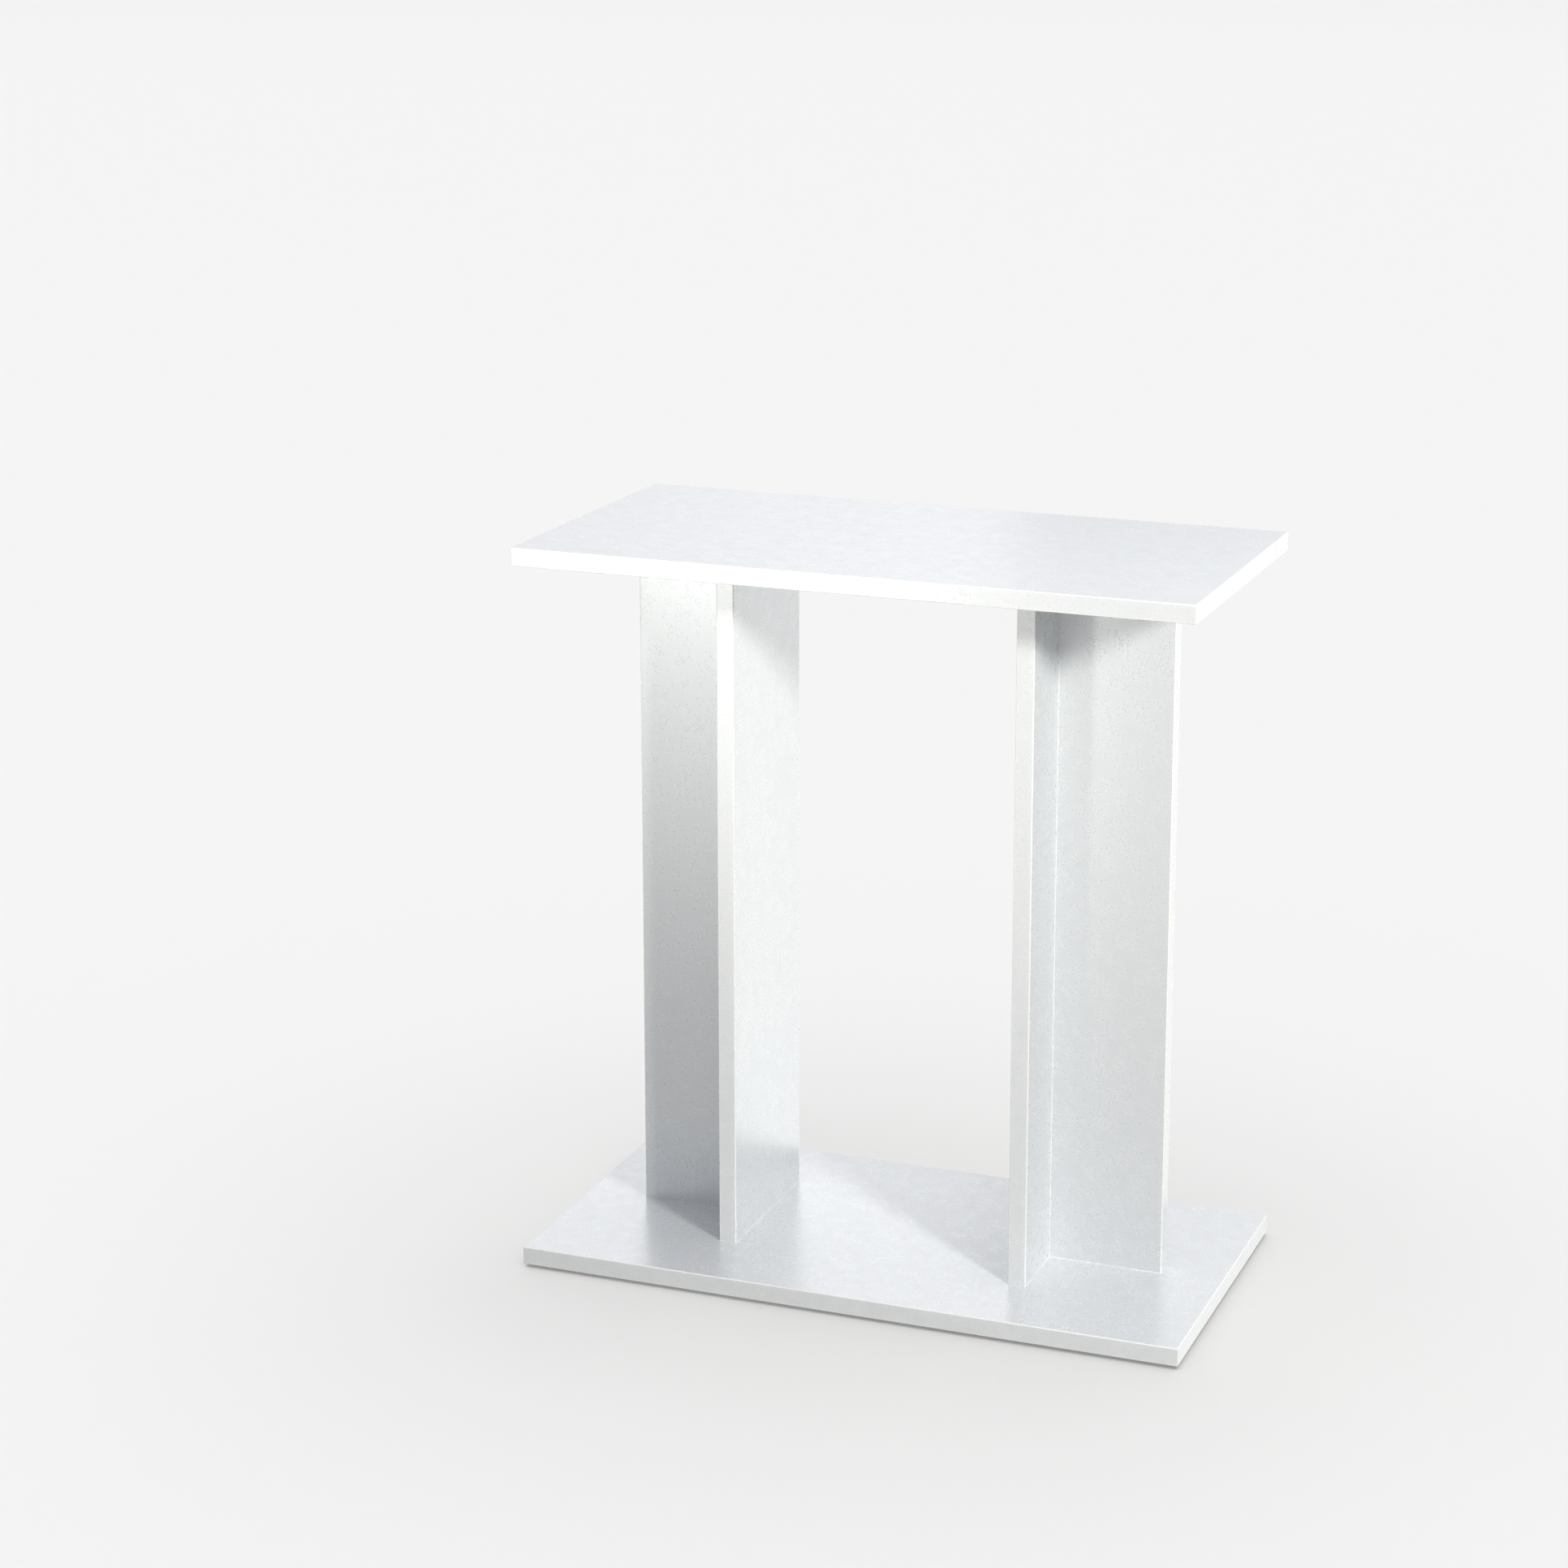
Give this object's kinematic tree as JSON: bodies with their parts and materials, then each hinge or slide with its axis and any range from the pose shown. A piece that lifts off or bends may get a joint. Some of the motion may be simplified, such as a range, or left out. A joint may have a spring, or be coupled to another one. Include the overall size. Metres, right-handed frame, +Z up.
{
  "type": "aquarium stand",
  "caption": "Open aquarium stand in white melamine board: a rectangular base and an equal top, joined by T-shaped pillars, with edge bands, cam locks and nail-on floor glides.",
  "frame": {"origin": "on the floor under the middle of the base board: the centre of the footprint, at the underside of the floor glides", "axes": "+X across the stand to the right as seen from the front, +Y from front to back, +Z up"},
  "size_m": [0.6, 0.305, 0.653],
  "materials": {
    "white_board": "satin white melamine faces on chipboard",
    "edge_band": "satin",
    "zinc_alloy": "die cast, satin",
    "plated_steel": "zinc plated",
    "beech": "raw",
    "glide_plastic": "matt polyethylene"
  },
  "bodies": {
    "stand": {"base_back_band": "edge_band", "base_board": "white_board", "base_connecting_bolts": "plated_steel", "base_dowels": "beech", "base_front_band": "edge_band", "base_left_band": "edge_band", "base_right_band": "edge_band", "floor_glides": "glide_plastic", "glide_nails": "plated_steel", "left_flange_back_band": "edge_band", "left_flange_board": "white_board", "left_flange_front_band": "edge_band", "left_web_band": "edge_band", "left_web_board": "white_board", "pillar_connecting_bolts": "plated_steel", "pillar_dowels": "beech", "right_flange_back_band": "edge_band", "right_flange_board": "white_board", "right_flange_front_band": "edge_band", "right_web_band": "edge_band", "right_web_board": "white_board", "top_back_band": "edge_band", "top_board": "white_board", "top_connecting_bolts": "plated_steel", "top_dowels": "beech", "top_front_band": "edge_band", "top_left_band": "edge_band", "top_right_band": "edge_band"},
    "left_flange_base_cam": {"left_flange_base_cam": "zinc_alloy"},
    "left_web_base_cam": {"left_web_base_cam": "zinc_alloy"},
    "left_flange_top_cam": {"left_flange_top_cam": "zinc_alloy"},
    "left_web_top_cam": {"left_web_top_cam": "zinc_alloy"},
    "left_web_lower_cam": {"left_web_lower_cam": "zinc_alloy"},
    "left_web_upper_cam": {"left_web_upper_cam": "zinc_alloy"},
    "right_flange_base_cam": {"right_flange_base_cam": "zinc_alloy"},
    "right_web_base_cam": {"right_web_base_cam": "zinc_alloy"},
    "right_flange_top_cam": {"right_flange_top_cam": "zinc_alloy"},
    "right_web_top_cam": {"right_web_top_cam": "zinc_alloy"},
    "right_web_lower_cam": {"right_web_lower_cam": "zinc_alloy"},
    "right_web_upper_cam": {"right_web_upper_cam": "zinc_alloy"}
  },
  "joints": [
    {"name": "left_flange_base_cam_turn", "type": "hinge", "parent": "stand", "child": "left_flange_base_cam", "pos_m": [-0.143, 0.044, 0.053], "axis": [-1, 0, 0], "range_deg": [0, 180]},
    {"name": "left_flange_top_cam_turn", "type": "hinge", "parent": "stand", "child": "left_flange_top_cam", "pos_m": [-0.143, 0.044, 0.603], "axis": [-1, 0, 0], "range_deg": [0, 180]},
    {"name": "left_web_base_cam_turn", "type": "hinge", "parent": "stand", "child": "left_web_base_cam", "pos_m": [-0.193, 0.008, 0.053], "axis": [0, 1, 0], "range_deg": [0, 180]},
    {"name": "left_web_lower_cam_turn", "type": "hinge", "parent": "stand", "child": "left_web_lower_cam", "pos_m": [-0.177, 0.008, 0.129], "axis": [0, 1, 0], "range_deg": [0, 180]},
    {"name": "left_web_top_cam_turn", "type": "hinge", "parent": "stand", "child": "left_web_top_cam", "pos_m": [-0.193, 0.008, 0.603], "axis": [0, 1, 0], "range_deg": [0, 180]},
    {"name": "left_web_upper_cam_turn", "type": "hinge", "parent": "stand", "child": "left_web_upper_cam", "pos_m": [-0.177, 0.008, 0.527], "axis": [0, 1, 0], "range_deg": [0, 180]},
    {"name": "right_flange_base_cam_turn", "type": "hinge", "parent": "stand", "child": "right_flange_base_cam", "pos_m": [0.143, 0.044, 0.053], "axis": [1, 0, 0], "range_deg": [0, 180]},
    {"name": "right_flange_top_cam_turn", "type": "hinge", "parent": "stand", "child": "right_flange_top_cam", "pos_m": [0.143, 0.044, 0.603], "axis": [1, 0, 0], "range_deg": [0, 180]},
    {"name": "right_web_base_cam_turn", "type": "hinge", "parent": "stand", "child": "right_web_base_cam", "pos_m": [0.193, 0.008, 0.053], "axis": [0, 1, 0], "range_deg": [0, 180]},
    {"name": "right_web_lower_cam_turn", "type": "hinge", "parent": "stand", "child": "right_web_lower_cam", "pos_m": [0.177, 0.008, 0.129], "axis": [0, 1, 0], "range_deg": [0, 180]},
    {"name": "right_web_top_cam_turn", "type": "hinge", "parent": "stand", "child": "right_web_top_cam", "pos_m": [0.193, 0.008, 0.603], "axis": [0, 1, 0], "range_deg": [0, 180]},
    {"name": "right_web_upper_cam_turn", "type": "hinge", "parent": "stand", "child": "right_web_upper_cam", "pos_m": [0.177, 0.008, 0.527], "axis": [0, 1, 0], "range_deg": [0, 180]}
  ]
}
